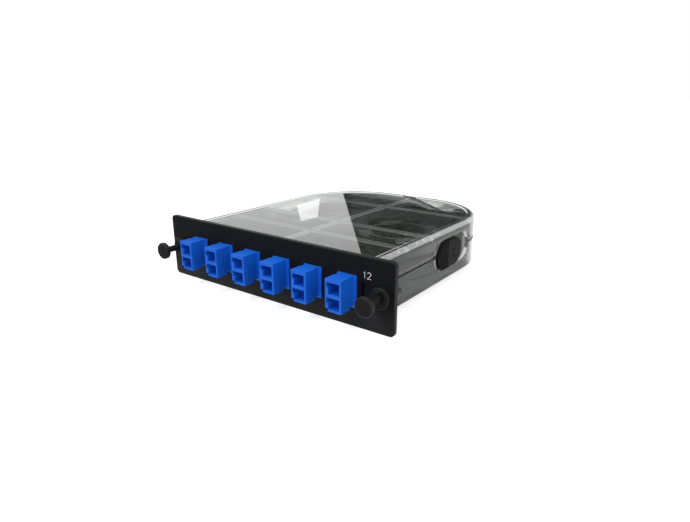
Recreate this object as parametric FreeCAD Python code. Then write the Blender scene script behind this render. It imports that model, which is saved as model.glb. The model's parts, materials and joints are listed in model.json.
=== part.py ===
"""Fibre cassette on a 130 mm panel footprint: faceplate with six duplex LC adapters and two
push-pull latches, and behind it a clear D-shaped housing made of a base tray and a lift-off cover.

Frame: millimetres, X to the right, Y from the faceplate back into the rack, Z up.
The origin is midway between the two latches, on the faceplate's rear face.
"""
import FreeCAD, Part
import math
import os

Vector = FreeCAD.Vector

# ---------------------------------------------------------------- driving dimensions (mm)
# general clearances
SEAT_GAP = 0.1              # a fixed piece in its seat, each side
MOVING_GAP = 0.3            # pieces of different bodies that pass each other
RUNNING_GAP = 0.05          # shaft in its bore, radial
EDGE_BREAK = 0.3            # small bevel on sheet and moulded edges
CUT_EXTRA = 1.0             # how far a cutting tool runs past the face it opens
SAME_POINT = 1e-6           # two points nearer than this are one

# faceplate
PLATE_WIDTH = 130.0
PLATE_HEIGHT = 30.0
PLATE_THICKNESS = 2.0
PLATE_CORNER_RADIUS = 2.0
CUTOUT_CORNER_RADIUS = 0.8

# adapters
ADAPTER_COUNT = 6
ADAPTER_PITCH = 17.35
NOSE_WIDTH = 7.6
NOSE_HEIGHT = 13.3
NOSE_REACH = 9.5            # how far the nose stands in front of the faceplate
NOSE_LENGTH = 5.7           # the full-section front part of the nose
WAIST_INSET = 0.35          # the waist is this much narrower on each side
WAIST_LIFT = 1.2            # the waist's underside is this much higher
FLANGE_WIDTH = 9.0
FLANGE_THICKNESS = 0.8
BODY_WIDTH = 8.2            # the part that passes the faceplate
BODY_HEIGHT = 12.5
FRONT_BODY_BEHIND = 1.5     # how far the front moulding reaches behind the faceplate
REAR_BODY_LENGTH = 13.0
PORT_WIDTH = 5.3
PORT_HEIGHT = 4.8
PORT_PITCH = 6.25
PORT_DROP = 0.3             # the pair of ports sits this much below the middle
PORT_SIDE_WALL = 0.85       # wall on the right of a port
LATCH_SLOT_DEPTH = 0.9      # the port's upper half reaches this much further left
LATCH_SLOT_HEIGHT = 2.2
WEB_THICKNESS = 3.0         # the wall between front and rear ports
KEY_NOTCH_WIDTH = 1.35
KEY_NOTCH_HEIGHT = 1.2
SLEEVE_OUTER_RADIUS = 0.8
SLEEVE_INNER_RADIUS = 0.625
SLEEVE_LENGTH = 11.4
SLEEVE_SLIT = 0.3
TOWER_RADIUS = 1.3          # tube that carries the sleeve inside each port
TOWER_LIP = 1.0             # length of the tube's narrow mouth, which keeps the sleeve in
FERRULE_GAP = 0.05          # mouth radius over the sleeve's bore

# adapter spring clip
CLIP_SHEET = 0.25
CLIP_LENGTH = 6.0
CLIP_FLARE = 1.3            # how far each spring tongue stands out at the faceplate
CLIP_TONGUE_LENGTH = 4.5
CLIP_SIDE_HEIGHT = 9.0

# push-pull latches
LATCH_SPACING = 117.5
BUSH_FLANGE_RADIUS = 4.4
BUSH_FLANGE_THICKNESS = 1.6
BUSH_DISH_RADIUS = 3.3
BUSH_DISH_DEPTH = 0.9
BUSH_SHANK_RADIUS = 2.9
BUSH_NECK_STEP = 0.2        # the neck inside the faceplate is this much wider all round
BUSH_REACH = 9.0            # how far the split shank stands behind the faceplate
BUSH_END_LIP = 1.3          # length of the inward lip at the fingers' ends
BUSH_CHAMBER_RADIUS = 2.05
BUSH_SLIT = 0.6
BUSH_SLIT_START = 1.5       # the slits begin this far behind the faceplate
BUSH_SLIT_PAIRS = 2
STEM_RADIUS = 1.5
STEM_TIP = 7.0              # the stem's tip behind the faceplate's rear face, pulled out
STEM_TIP_BEVEL = 0.5
COLLAR_RADIUS = 1.75
COLLAR_LENGTH = 1.2
HEAD_RADIUS = 4.0
HEAD_THICKNESS = 2.2
HEAD_ROUND = 0.7
HEAD_REACH = 11.8           # the head's front face ahead of the faceplate, pulled out
NECK_RADIUS = 2.2
NECK_LENGTH = 1.0

# housing
SHELL_WIDTH = 108.0
SHELL_HEIGHT = 25.0
SHELL_LENGTH = 123.5
SHELL_CORNER_RADIUS = 40.0
SHELL_WALL = 2.2
FLOOR_THICKNESS = 2.0
PANEL_THICKNESS = 1.6
PARTING_HEIGHT = 0.5        # the parting line above the middle plane
BOTTOM_EDGE_RADIUS = 1.5
TOP_EDGE_RADIUS = 2.0
RIM_WIDTH = 3.8             # raised rim round the cover's flat panel
PANEL_RECESS = 0.5
COVER_GROOVE_DEPTH = 0.5    # outside groove along the cover's lower edge
COVER_GROOVE_HEIGHT = 1.4
COVER_GROOVE_LIFT = 0.5     # above the parting line
TONGUE_THICKNESS = 0.7      # the tray's tongue that stands up inside the cover
TONGUE_HEIGHT = 1.0
RIB_THICKNESS = 2.0         # the cover's inside ribs
RIB_DEPTH = 1.0
CROSS_RIB_FRONT = 28.0      # the cross ribs' places along the housing
CROSS_RIB_MIDDLE = 50.0
CROSS_RIB_REAR = 93.0
LIFT_NOTCH_WIDTH = 9.0

# hooks that tie the tray to the faceplate
HOOK_THICKNESS = 1.1
HOOK_HEIGHT = 8.4
HOOK_SLOT_GAP = 0.3         # the slot beyond the hook, each side
HOOK_ROOT_LENGTH = 6.0
HOOK_BARB = 0.25
HOOK_BARB_LENGTH = 0.8
HOOK_POCKET_DEPTH = 1.1     # wider front part of the slot, where the barb sits

# locating pins of the cover
PIN_RADIUS = 1.5
PIN_ENGAGEMENT = 6.0
PIN_TIP_BEVEL = 0.4
POST_RADIUS = 2.4
BOSS_RADIUS = 3.2
FRONT_PIN_SETBACK = 21.0
FRONT_PIN_INSET = 5.6       # from the housing's side
REAR_PIN_INSET = 6.5        # from the rear corner's outside

# bend-radius rings
RING_SPACING = 62.0
RING_Y = 56.0
RING_RADIUS = 15.0
RING_WALL = 1.6
RING_TOP_GAP = 0.7          # below the cover's ribs
RING_GUARD_REACH = 4.0
RING_GUARD_THICKNESS = 1.2
RING_GUARD_ANGLE = 36.0
RING_GUARD_COUNT = 4

# side port and cable grommet
PORT_CENTRE_Y = 69.5
SIDE_PORT_LENGTH = 35.0
SIDE_PORT_HEIGHT = 14.0
SIDE_PORT_BEVEL = 0.8
GROMMET_LENGTH = 23.5
GROMMET_END_GAP = 0.4       # between the grommet's front end and the port's end
GROMMET_END_FLAT = 0.6      # straight part of the grommet's rounded ends
GROMMET_PROUD = 1.0
GROMMET_EDGE_RADIUS = 0.6
GROMMET_INNER_FLANGE = 1.5  # how far the flange inside the wall reaches past the port
GROMMET_FLANGE_THICKNESS = 2.0
GROMMET_RIB_PITCH = 1.5
GROMMET_RIB_COUNT = 6
GROMMET_RIB_DEPTH = 0.6
GROMMET_HOLE_RADIUS = 0.6
GROMMET_HOLE_SPACING = 2.7
GROMMET_HOLE_Y = 67.6
GROMMET_HOLE_DEPTH = 2.5

# splice holder
HOLDER_Y = 88.0
HOLDER_LENGTH = 40.0
HOLDER_WIDTH = 27.0
HOLDER_BASE = 1.2
HOLDER_FIN_HEIGHT = 6.5
HOLDER_FIN_THICKNESS = 1.0
HOLDER_SLOTS = 6
HOLDER_WINDOW = 12.0        # open middle between the two combs
HOLDER_FIN_NOSE = 0.35      # the fins' tips bulge this much to keep a splice in

# ---------------------------------------------------------------- derived places
plate_front = -PLATE_THICKNESS
shell_side = SHELL_WIDTH / 2
shell_top = SHELL_HEIGHT / 2
shell_bottom = -shell_top
floor_top = shell_bottom + FLOOR_THICKNESS
panel_top = shell_top - PANEL_RECESS
panel_under = panel_top - PANEL_THICKNESS
rib_under = panel_under - RIB_DEPTH
parting_z = PARTING_HEIGHT
nose_front = plate_front - NOSE_REACH
waist_front = nose_front + NOSE_LENGTH
flange_front = plate_front - FLANGE_THICKNESS
seam_y = FRONT_BODY_BEHIND
web_front = seam_y - WEB_THICKNESS / 2
web_rear = seam_y + WEB_THICKNESS / 2
adapter_rear_end = seam_y + REAR_BODY_LENGTH
sleeve_half = SLEEVE_LENGTH / 2
tower_half = sleeve_half + SEAT_GAP + TOWER_LIP
bush_neck_radius = BUSH_SHANK_RADIUS + BUSH_NECK_STEP
hook_x = shell_side - SHELL_WALL - MOVING_GAP - HOOK_THICKNESS / 2


# ---------------------------------------------------------------- shape helpers
def box(x0, x1, y0, y1, z0, z1):
    """A box between two corners."""
    return Part.makeBox(x1 - x0, y1 - y0, z1 - z0, Vector(x0, y0, z0))


def cylinder_along_y(radius, y0, y1, x, z):
    """A round bar along Y between two planes."""
    return Part.makeCylinder(radius, y1 - y0, Vector(x, y0, z), Vector(0, 1, 0))


def round_post(radius, z0, z1, x, y):
    """An upright round post."""
    return Part.makeCylinder(radius, z1 - z0, Vector(x, y, z0), Vector(0, 0, 1))


def closed_face(edges):
    """The flat face inside a closed run of edges."""
    return Part.Face(Part.Wire(edges))


def polygon_face(points):
    """The flat face of a closed polygon."""
    return Part.Face(Part.makePolygon(points + [points[0]]))


def rounded_rectangle(centre, across, up, length, height, radius):
    """The face of a rectangle with round corners, in the plane of two unit directions."""
    def at(a, b):
        return centre + across * a + up * b
    a = length / 2
    b = height / 2
    r = min(radius, a, b)
    s = r * (1 - math.sqrt(0.5))
    edges = []
    corners = [(1, 1), (-1, 1), (-1, -1), (1, -1)]
    for index, (ka, kb) in enumerate(corners):
        side_end = at(ka * a, kb * (b - r))
        cap_end = at(ka * (a - r), kb * b)
        first, last = (side_end, cap_end) if ka == kb else (cap_end, side_end)
        edges.append(Part.Arc(first, at(ka * (a - s), kb * (b - s)), last).toShape())
        na, nb = corners[(index + 1) % 4]
        next_start = at(na * (a - r), nb * b) if na != nb else at(na * a, nb * (b - r))
        if last.distanceToPoint(next_start) > SAME_POINT:
            edges.append(Part.LineSegment(last, next_start).toShape())
    return closed_face(edges)


def clean(shape):
    """Merge the leftover faces of a boolean."""
    return shape.removeSplitter()


def fuse_all(shapes):
    """One solid from several that touch or overlap."""
    return clean(shapes[0].multiFuse(shapes[1:]))


def save(name, shape):
    """Write one piece, and print its size for the record."""
    shape.exportStep("parts/" + name + ".step")
    print(name, "solids", len(shape.Solids), "valid", shape.isValid(), "volume", round(shape.Volume, 1))


# ---------------------------------------------------------------- housing outline
def shell_outline(inset, front, z):
    """The housing's D-shaped outline, moved in by an inset, as a face at height z."""
    side = shell_side - inset
    rear = SHELL_LENGTH - inset
    radius = SHELL_CORNER_RADIUS - inset
    turn = rear - radius
    centre = side - radius
    bulge = radius * math.sqrt(0.5)
    edges = [
        Part.LineSegment(Vector(-side, front, z), Vector(side, front, z)).toShape(),
        Part.LineSegment(Vector(side, front, z), Vector(side, turn, z)).toShape(),
        Part.Arc(Vector(side, turn, z), Vector(centre + bulge, turn + bulge, z),
                 Vector(centre, rear, z)).toShape(),
        Part.LineSegment(Vector(centre, rear, z), Vector(-centre, rear, z)).toShape(),
        Part.Arc(Vector(-centre, rear, z), Vector(-centre - bulge, turn + bulge, z),
                 Vector(-side, turn, z)).toShape(),
        Part.LineSegment(Vector(-side, turn, z), Vector(-side, front, z)).toShape(),
    ]
    return closed_face(edges)


def shell_block(inset, front, z0, z1):
    """A solid with the housing's outline between two heights."""
    return shell_outline(inset, front, z0).extrude(Vector(0, 0, z1 - z0))


def round_outer_edge(block, z, radius, front):
    """Round the side and rear edges of a housing block at one height."""
    edges = []
    for edge in block.Edges:
        bounds = edge.BoundBox
        flat = abs(bounds.ZMin - z) < EDGE_BREAK and abs(bounds.ZMax - z) < EDGE_BREAK
        at_front = abs(bounds.YMin - front) < EDGE_BREAK and abs(bounds.YMax - front) < EDGE_BREAK
        if flat and not at_front:
            edges.append(edge)
    return block.makeFillet(radius, edges)


def side_port_tool():
    """The stadium-shaped side port with its outside bevel, as a cutting tool."""
    centre = Vector(shell_side, PORT_CENTRE_Y, parting_z)
    inner = Vector(-SHELL_WALL - CUT_EXTRA, 0, 0)
    along = Vector(0, 1, 0)
    up = Vector(0, 0, 1)
    radius = SIDE_PORT_HEIGHT / 2
    straight = rounded_rectangle(centre + inner, along, up, SIDE_PORT_LENGTH, SIDE_PORT_HEIGHT, radius)
    straight = straight.extrude(Vector(SHELL_WALL + 2 * CUT_EXTRA, 0, 0))
    wide = SIDE_PORT_BEVEL + CUT_EXTRA
    mouth = rounded_rectangle(
        centre + Vector(CUT_EXTRA, 0, 0), along, up,
        SIDE_PORT_LENGTH + 2 * wide, SIDE_PORT_HEIGHT + 2 * wide, radius + wide)
    throat = rounded_rectangle(
        centre - Vector(SIDE_PORT_BEVEL, 0, 0), along, up, SIDE_PORT_LENGTH, SIDE_PORT_HEIGHT, radius)
    bevel = Part.makeLoft([throat.OuterWire, mouth.OuterWire], True, True)
    return straight.fuse(bevel)


def pin_places():
    """The four locating pins' centres: two near the front corners, two in the rear corners."""
    front_x = shell_side - FRONT_PIN_INSET
    middle = SHELL_CORNER_RADIUS - REAR_PIN_INSET
    rear_x = shell_side - SHELL_CORNER_RADIUS + middle * math.sqrt(0.5)
    rear_y = SHELL_LENGTH - SHELL_CORNER_RADIUS + middle * math.sqrt(0.5)
    return [
        (front_x, FRONT_PIN_SETBACK),
        (-front_x, FRONT_PIN_SETBACK),
        (rear_x, rear_y),
        (-rear_x, rear_y),
    ]


# ---------------------------------------------------------------- base tray
def bend_ring(x):
    """A ring that keeps the fibre's bends wide, with guards round its top that hold the fibre down."""
    top = rib_under - RING_TOP_GAP
    ring = round_post(RING_RADIUS, floor_top - CUT_EXTRA, top, x, RING_Y)
    hole = round_post(RING_RADIUS - RING_WALL, floor_top - 2 * CUT_EXTRA, top + CUT_EXTRA, x, RING_Y)
    pieces = [ring.cut(hole)]
    inner = RING_RADIUS - RING_WALL / 2
    outer = RING_RADIUS + RING_GUARD_REACH
    guard = polygon_face([
        Vector(x + inner, RING_Y, top - RING_GUARD_THICKNESS),
        Vector(x + outer, RING_Y, top - RING_GUARD_THICKNESS),
        Vector(x + outer, RING_Y, top),
        Vector(x + inner, RING_Y, top),
    ])
    for index in range(RING_GUARD_COUNT):
        start = 360.0 / RING_GUARD_COUNT * (index + 0.5) - RING_GUARD_ANGLE / 2
        turned = guard.copy()
        turned.rotate(Vector(x, RING_Y, 0), Vector(0, 0, 1), start)
        pieces.append(turned.revolve(Vector(x, RING_Y, 0), Vector(0, 0, 1), RING_GUARD_ANGLE))
    return fuse_all(pieces)


def faceplate_hook(side):
    """A hook on the tray's side that passes the faceplate's slot and catches behind its front pocket."""
    x = side * hook_x
    half = HOOK_THICKNESS / 2
    tip = plate_front + EDGE_BREAK
    blade = box(x - half, x + half, tip, HOOK_ROOT_LENGTH, -HOOK_HEIGHT / 2, HOOK_HEIGHT / 2)
    inner_face = x - side * half
    barb = polygon_face([
        Vector(inner_face, tip, -HOOK_HEIGHT / 2),
        Vector(inner_face - side * HOOK_BARB, tip + HOOK_BARB_LENGTH, -HOOK_HEIGHT / 2),
        Vector(inner_face, tip + HOOK_BARB_LENGTH, -HOOK_HEIGHT / 2),
    ]).extrude(Vector(0, 0, HOOK_HEIGHT))
    wall_face = side * (shell_side - SHELL_WALL / 2)
    low, high = sorted([x, wall_face])
    root = box(low, high, 0, HOOK_ROOT_LENGTH, -HOOK_HEIGHT / 2, parting_z)
    return [blade, barb, root]


def base_tray():
    """Lower half of the housing, one moulding: floor, walls, tongue, rings, pin bosses and hooks."""
    outer = round_outer_edge(
        shell_block(0, 0, shell_bottom, parting_z), shell_bottom, BOTTOM_EDGE_RADIUS, 0)
    cavity = shell_block(SHELL_WALL, -CUT_EXTRA, floor_top, parting_z + TONGUE_HEIGHT + CUT_EXTRA)
    tongue = shell_block(SHELL_WALL - TONGUE_THICKNESS, MOVING_GAP, parting_z - CUT_EXTRA,
                         parting_z + TONGUE_HEIGHT)
    tray = outer.fuse(tongue).cut(cavity)
    additions = [bend_ring(-RING_SPACING / 2), bend_ring(RING_SPACING / 2)]
    for x, y in pin_places():
        additions.append(round_post(BOSS_RADIUS, floor_top - CUT_EXTRA, parting_z, x, y))
    for side in (-1, 1):
        additions += faceplate_hook(side)
    tray = tray.multiFuse(additions)
    for x, y in pin_places():
        socket_bottom = parting_z - PIN_ENGAGEMENT - MOVING_GAP
        tray = tray.cut(round_post(PIN_RADIUS + RUNNING_GAP, socket_bottom, parting_z + CUT_EXTRA, x, y))
    return clean(tray.cut(side_port_tool()))


# ---------------------------------------------------------------- cover
def cover_ribs():
    """Stiffening ribs under the panel: one along the middle and three across."""
    z0 = rib_under
    z1 = panel_under + PANEL_THICKNESS / 2
    half = RIB_THICKNESS / 2
    ribs = [box(-half, half, MOVING_GAP, SHELL_LENGTH, z0, z1)]
    for y in (CROSS_RIB_FRONT, CROSS_RIB_MIDDLE, CROSS_RIB_REAR):
        ribs.append(box(-shell_side, shell_side, y - half, y + half, z0, z1))
    within = shell_block(SHELL_WALL / 2, MOVING_GAP, z0 - CUT_EXTRA, z1 + CUT_EXTRA)
    return [rib.common(within) for rib in ribs]


def locating_pin(x, y):
    """A post under the cover's panel that ends in a pin for the tray's boss."""
    shoulder = parting_z + MOVING_GAP
    tip = parting_z - PIN_ENGAGEMENT
    profile = polygon_face([
        Vector(x, y, tip),
        Vector(x + PIN_RADIUS - PIN_TIP_BEVEL, y, tip),
        Vector(x + PIN_RADIUS, y, tip + PIN_TIP_BEVEL),
        Vector(x + PIN_RADIUS, y, shoulder),
        Vector(x + POST_RADIUS, y, shoulder),
        Vector(x + POST_RADIUS, y, panel_under + PANEL_THICKNESS / 2),
        Vector(x, y, panel_under + PANEL_THICKNESS / 2),
    ])
    return profile.revolve(Vector(x, y, 0), Vector(0, 0, 1), 360)


def cover():
    """Upper half of the housing, one moulding: rimmed panel, walls, ribs and four locating pins."""
    front = MOVING_GAP
    outer = round_outer_edge(
        shell_block(0, front, parting_z, shell_top), shell_top, TOP_EDGE_RADIUS, front)
    cavity = shell_block(SHELL_WALL, -CUT_EXTRA, parting_z - CUT_EXTRA, panel_under)
    rebate = shell_block(SHELL_WALL - TONGUE_THICKNESS - MOVING_GAP, -CUT_EXTRA, parting_z - CUT_EXTRA,
                         parting_z + TONGUE_HEIGHT + MOVING_GAP)
    recess = shell_block(RIM_WIDTH, -CUT_EXTRA, panel_top, shell_top + CUT_EXTRA)
    groove_low = parting_z + COVER_GROOVE_LIFT
    groove_high = groove_low + COVER_GROOVE_HEIGHT
    around = shell_block(-CUT_EXTRA, -CUT_EXTRA, groove_low, groove_high)
    kept = shell_block(COVER_GROOVE_DEPTH, -2 * CUT_EXTRA, groove_low - CUT_EXTRA, groove_high + CUT_EXTRA)
    groove = around.cut(kept)
    half = LIFT_NOTCH_WIDTH / 2
    notch = box(-half, half, SHELL_LENGTH - RIM_WIDTH - CUT_EXTRA, SHELL_LENGTH + CUT_EXTRA,
                panel_top, shell_top + CUT_EXTRA)
    lid = outer.cut(cavity).cut(rebate).cut(recess).cut(groove).cut(notch)
    additions = cover_ribs() + [locating_pin(x, y) for x, y in pin_places()]
    lid = lid.multiFuse(additions)
    return clean(lid.cut(side_port_tool()))


# ---------------------------------------------------------------- faceplate
def adapter_places():
    """The adapters' middles along X."""
    first = -(ADAPTER_COUNT - 1) / 2 * ADAPTER_PITCH
    return [first + index * ADAPTER_PITCH for index in range(ADAPTER_COUNT)]


def faceplate():
    """Flat plate with round corners, adapter cut-outs, latch holes and stepped hook slots."""
    across = Vector(1, 0, 0)
    up = Vector(0, 0, 1)
    face = rounded_rectangle(Vector(0, plate_front, 0), across, up, PLATE_WIDTH, PLATE_HEIGHT,
                             PLATE_CORNER_RADIUS)
    plate = face.extrude(Vector(0, PLATE_THICKNESS, 0))
    front_edges = [edge for edge in plate.Edges if edge.BoundBox.YMax < plate_front + EDGE_BREAK]
    plate = plate.makeChamfer(EDGE_BREAK, front_edges)
    through = Vector(0, PLATE_THICKNESS + 2 * CUT_EXTRA, 0)
    for x in adapter_places():
        window = rounded_rectangle(Vector(x, plate_front - CUT_EXTRA, 0), across, up, BODY_WIDTH + 2 * SEAT_GAP,
                                   BODY_HEIGHT + 2 * SEAT_GAP, CUTOUT_CORNER_RADIUS)
        plate = plate.cut(window.extrude(through))
    for side in (-1, 1):
        plate = plate.cut(cylinder_along_y(bush_neck_radius + SEAT_GAP, plate_front - CUT_EXTRA, CUT_EXTRA,
                                           side * LATCH_SPACING / 2, 0))
        half = HOOK_THICKNESS / 2 + HOOK_SLOT_GAP
        x = side * hook_x
        high = HOOK_HEIGHT / 2 + HOOK_SLOT_GAP
        plate = plate.cut(box(x - half, x + half, plate_front - CUT_EXTRA, CUT_EXTRA, -high, high))
        pocket = half + HOOK_BARB
        plate = plate.cut(box(x - pocket, x + pocket, plate_front - CUT_EXTRA,
                              plate_front + HOOK_POCKET_DEPTH, -high, high))
    return part_off_lands(clean(plate))


def part_off_lands(plate):
    """The same plate, with the two strips beside the housing as faces of their own: a frame meets these."""
    half_shell = SHELL_WIDTH / 2
    reach = PLATE_HEIGHT / 2 + CUT_EXTRA
    far = PLATE_WIDTH / 2 + CUT_EXTRA
    spans = [(-far, -half_shell), (-half_shell, half_shell), (half_shell, far)]
    pieces = []
    for left, right in spans:
        pieces.append(plate.common(box(left, right, plate_front - CUT_EXTRA, CUT_EXTRA, -reach, reach)))
    return pieces[0].multiFuse(pieces[1:])


# ---------------------------------------------------------------- adapters
def port_centres():
    """The heights of an adapter's two ports."""
    return [-PORT_DROP + PORT_PITCH / 2, -PORT_DROP - PORT_PITCH / 2]


def port_tool(x, y0, y1, key_side):
    """The hollow of both ports between two planes, with the key slot on one side."""
    right = NOSE_WIDTH / 2 - PORT_SIDE_WALL
    left = right - PORT_WIDTH
    tools = []
    for z in port_centres():
        half = PORT_HEIGHT / 2
        low, high = sorted([key_side * left, key_side * right])
        tools.append(box(x + low, x + high, y0, y1, z - half, z + half))
        low, high = sorted([key_side * (left - LATCH_SLOT_DEPTH), key_side * right])
        tools.append(box(x + low, x + high, y0, y1, z + half - LATCH_SLOT_HEIGHT, z + half))
    return tools[0].multiFuse(tools[1:])


def sleeve_axis():
    """The sleeves' offset along X: the middle of the ports' plain part."""
    return NOSE_WIDTH / 2 - PORT_SIDE_WALL - PORT_WIDTH / 2


def sleeve_tower(x, z, y_end):
    """One half of the tube that carries a sleeve, from the seam to its narrow mouth."""
    y0, y1 = sorted([seam_y, y_end])
    return cylinder_along_y(TOWER_RADIUS, y0, y1, x, z)


def sleeve_bore(x, z):
    """The hole for a sleeve through both mouldings, narrow at both mouths."""
    seat_half = sleeve_half + SEAT_GAP
    seat = cylinder_along_y(SLEEVE_OUTER_RADIUS + SEAT_GAP / 2, seam_y - seat_half, seam_y + seat_half, x, z)
    mouth = cylinder_along_y(SLEEVE_INNER_RADIUS + FERRULE_GAP, seam_y - tower_half - CUT_EXTRA,
                             seam_y + tower_half + CUT_EXTRA, x, z)
    return seat.fuse(mouth)


def adapter_body(x, y0, y1):
    """The round-cornered block that fits the faceplate's cut-out."""
    face = rounded_rectangle(Vector(x, y0, 0), Vector(1, 0, 0), Vector(0, 0, 1), BODY_WIDTH, BODY_HEIGHT,
                             CUTOUT_CORNER_RADIUS)
    return face.extrude(Vector(0, y1 - y0, 0))


def adapter_front(x):
    """Front moulding: nose with two ports, narrower raised waist, flange and the part in the cut-out."""
    half_nose = NOSE_WIDTH / 2
    top = NOSE_HEIGHT / 2
    nose = box(x - half_nose, x + half_nose, nose_front, waist_front, -top, top)
    nose = nose.cut(box(x - half_nose - CUT_EXTRA, x - half_nose + KEY_NOTCH_WIDTH, nose_front - CUT_EXTRA,
                        waist_front + CUT_EXTRA, -top - CUT_EXTRA, -top + KEY_NOTCH_HEIGHT))
    half_waist = half_nose - WAIST_INSET
    waist = box(x - half_waist, x + half_waist, waist_front, flange_front, -top + WAIST_LIFT, top)
    half_flange = FLANGE_WIDTH / 2
    flange = box(x - half_flange, x + half_flange, flange_front, plate_front, -top, top)
    moulding = fuse_all([nose, waist, flange, adapter_body(x, plate_front, seam_y)])
    moulding = moulding.cut(port_tool(x, nose_front - CUT_EXTRA, web_front, 1))
    sleeve_x = x + sleeve_axis()
    for z in port_centres():
        moulding = moulding.fuse(sleeve_tower(sleeve_x, z, seam_y - tower_half))
        moulding = moulding.cut(sleeve_bore(sleeve_x, z))
    return clean(moulding)


def adapter_rear(x):
    """Rear moulding: a plain block with two ports that face into the housing."""
    moulding = adapter_body(x, seam_y, adapter_rear_end)
    moulding = moulding.cut(port_tool(x, web_rear, adapter_rear_end + CUT_EXTRA, 1))
    sleeve_x = x + sleeve_axis()
    for z in port_centres():
        moulding = moulding.fuse(sleeve_tower(sleeve_x, z, seam_y + tower_half))
        moulding = moulding.cut(sleeve_bore(sleeve_x, z))
    return clean(moulding)


def split_sleeve(x, z):
    """A ceramic alignment sleeve: a thin tube slit along its length."""
    y0 = seam_y - sleeve_half
    y1 = seam_y + sleeve_half
    tube = cylinder_along_y(SLEEVE_OUTER_RADIUS, y0, y1, x, z)
    tube = tube.cut(cylinder_along_y(SLEEVE_INNER_RADIUS, y0 - CUT_EXTRA, y1 + CUT_EXTRA, x, z))
    slit = box(x - SLEEVE_SLIT / 2, x + SLEEVE_SLIT / 2, y0 - CUT_EXTRA, y1 + CUT_EXTRA, z,
               z + SLEEVE_OUTER_RADIUS + CUT_EXTRA)
    return tube.cut(slit)


def adapter_sleeves(x):
    """The pair of sleeves of one adapter, as two separate solids."""
    sleeve_x = x + sleeve_axis()
    return Part.makeCompound([split_sleeve(sleeve_x, z) for z in port_centres()])


def adapter_clip(x):
    """Spring clip astride the adapter: a bridge, two side leaves and two tongues against the faceplate."""
    half_body = BODY_WIDTH / 2
    top = BODY_HEIGHT / 2
    y_rear = CLIP_TONGUE_LENGTH + CLIP_LENGTH
    outer = half_body + CLIP_SHEET
    pieces = [box(x - outer, x + outer, CLIP_TONGUE_LENGTH, y_rear, top, top + CLIP_SHEET)]
    for side in (-1, 1):
        low, high = sorted([x + side * half_body, x + side * outer])
        pieces.append(box(low, high, CLIP_TONGUE_LENGTH, y_rear, top - CLIP_SIDE_HEIGHT, top))
        tongue = polygon_face([
            Vector(x + side * half_body, CLIP_TONGUE_LENGTH, top - CLIP_SIDE_HEIGHT),
            Vector(x + side * outer, CLIP_TONGUE_LENGTH, top - CLIP_SIDE_HEIGHT),
            Vector(x + side * (outer + CLIP_FLARE), 0, top - CLIP_SIDE_HEIGHT),
            Vector(x + side * (half_body + CLIP_FLARE), 0, top - CLIP_SIDE_HEIGHT),
        ])
        pieces.append(tongue.extrude(Vector(0, 0, CLIP_SIDE_HEIGHT - CLIP_FLARE)))
    return fuse_all(pieces)


# ---------------------------------------------------------------- latches
def latch_bush(x):
    """Split bush: dished flange before the faceplate, slit shank with inward lips behind it."""
    flange_face = plate_front - BUSH_FLANGE_THICKNESS
    throat = STEM_RADIUS + RUNNING_GAP
    chamber_front = plate_front
    chamber_rear = BUSH_REACH - BUSH_END_LIP
    profile = polygon_face([
        Vector(x + throat, flange_face + BUSH_DISH_DEPTH, 0),
        Vector(x + BUSH_DISH_RADIUS, flange_face, 0),
        Vector(x + BUSH_FLANGE_RADIUS - EDGE_BREAK, flange_face, 0),
        Vector(x + BUSH_FLANGE_RADIUS, flange_face + EDGE_BREAK, 0),
        Vector(x + BUSH_FLANGE_RADIUS, plate_front, 0),
        Vector(x + bush_neck_radius, plate_front, 0),
        Vector(x + bush_neck_radius, 0, 0),
        Vector(x + BUSH_SHANK_RADIUS, 0, 0),
        Vector(x + BUSH_SHANK_RADIUS, BUSH_REACH - EDGE_BREAK, 0),
        Vector(x + BUSH_SHANK_RADIUS - EDGE_BREAK, BUSH_REACH, 0),
        Vector(x + throat, BUSH_REACH, 0),
        Vector(x + throat, chamber_rear, 0),
        Vector(x + BUSH_CHAMBER_RADIUS, chamber_rear, 0),
        Vector(x + BUSH_CHAMBER_RADIUS, chamber_front, 0),
        Vector(x + throat, chamber_front, 0),
    ])
    bush = profile.revolve(Vector(x, 0, 0), Vector(0, 1, 0), 360)
    slit = box(x - BUSH_SHANK_RADIUS - CUT_EXTRA, x + BUSH_SHANK_RADIUS + CUT_EXTRA, BUSH_SLIT_START,
               BUSH_REACH + CUT_EXTRA, -BUSH_SLIT / 2, BUSH_SLIT / 2)
    for index in range(BUSH_SLIT_PAIRS):
        turned = slit.copy()
        turned.rotate(Vector(x, 0, 0), Vector(0, 1, 0), 180.0 / BUSH_SLIT_PAIRS * (index + 0.5))
        bush = bush.cut(turned)
    return bush


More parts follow.
